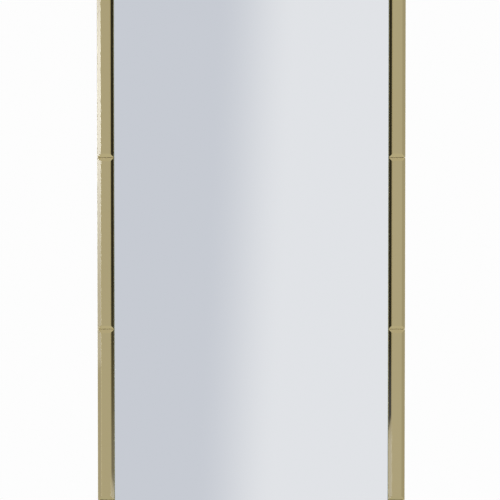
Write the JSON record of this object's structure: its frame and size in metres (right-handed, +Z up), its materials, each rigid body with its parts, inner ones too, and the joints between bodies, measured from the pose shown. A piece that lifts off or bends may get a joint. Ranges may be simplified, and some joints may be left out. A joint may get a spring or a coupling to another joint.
{
  "type": "wall mirror",
  "caption": "Full-length rectangular wall mirror: a plain silver pane edged with butted, bevelled strips of gold-tinted mirror glass on a battened board.",
  "frame": {"origin": "centre of the back, on the wall plane: the middle of the middle batten's rear face", "axes": "+X to the viewer's right, +Y into the wall, +Z up; the mirror faces -Y"},
  "size_m": [0.6, 0.028, 1.7376],
  "materials": {
    "silver_mirror": "polished silvered float glass",
    "gold_mirror": "polished champagne-gold tinted mirror glass with polished bevels",
    "tape_foam": "white double-sided foam tape",
    "board_fibre": "raw fibreboard with black-painted edges",
    "batten_wood": "planed softwood",
    "screw_steel": "yellow zinc plated",
    "hanger_steel": "bright zinc plated"
  },
  "bodies": {
    "mirror": {"mirror_pane": "silver_mirror", "left_tile_1": "gold_mirror", "left_tile_2": "gold_mirror", "left_tile_3": "gold_mirror", "left_tile_4": "gold_mirror", "left_tile_5": "gold_mirror", "right_tile_1": "gold_mirror", "right_tile_2": "gold_mirror", "right_tile_3": "gold_mirror", "right_tile_4": "gold_mirror", "right_tile_5": "gold_mirror", "top_tile_1": "gold_mirror", "top_tile_2": "gold_mirror", "bottom_tile_1": "gold_mirror", "bottom_tile_2": "gold_mirror", "pane_tape": "tape_foam", "tile_tape": "tape_foam", "backing_board": "board_fibre", "batten_left": "batten_wood", "batten_right": "batten_wood", "batten_top": "batten_wood", "batten_middle": "batten_wood", "batten_bottom": "batten_wood", "batten_screws": "screw_steel", "hanger_screws": "screw_steel", "hanger_strap_left": "hanger_steel", "hanger_strap_right": "hanger_steel"},
    "left_ring": {"hanger_ring_left": "hanger_steel"},
    "right_ring": {"hanger_ring_right": "hanger_steel"}
  },
  "joints": [
    {"name": "left_ring_swing", "type": "hinge", "parent": "mirror", "child": "left_ring", "pos_m": [-0.19, -0.00872, 0.5788], "axis": [1, 0, 0], "range_deg": [0, 180]},
    {"name": "right_ring_swing", "type": "hinge", "parent": "mirror", "child": "right_ring", "pos_m": [0.19, -0.00872, 0.5788], "axis": [1, 0, 0], "range_deg": [0, 180]}
  ]
}
